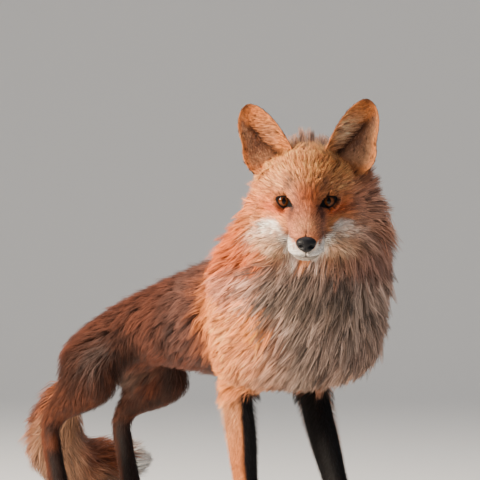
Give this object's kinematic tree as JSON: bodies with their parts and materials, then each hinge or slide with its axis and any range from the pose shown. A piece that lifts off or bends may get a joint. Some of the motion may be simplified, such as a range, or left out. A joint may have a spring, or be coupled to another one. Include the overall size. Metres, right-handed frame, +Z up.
{
  "type": "red fox model",
  "caption": "Life-size still model of a red fox in winter coat, standing low behind with its head turned to its right.",
  "frame": {"origin": "centre of the fox's box, on the floor under its paws", "axes": "+Z up; the body faces -Y, so +X is the fox's left"},
  "size_m": [0.3446, 0.7574, 0.5076],
  "materials": {
    "coat": "long soft reddish winter fur",
    "stocking": "short black and rust leg fur",
    "nose": "bare, moist, pebbled black",
    "eye": "wet amber with a slit pupil"
  },
  "bodies": {
    "root": {"ear_left": "coat", "ear_right": "coat", "eye_left": "eye", "eye_right": "eye", "foreleg_left": "stocking", "foreleg_right": "stocking", "forepaw_left": "stocking", "forepaw_right": "stocking", "head": "coat", "hindleg_left": "coat", "hindleg_right": "coat", "hindpaw_left": "coat", "hindpaw_right": "coat", "neck": "coat", "nose": "nose", "tail": "coat", "trunk": "coat"}
  },
  "joints": []
}
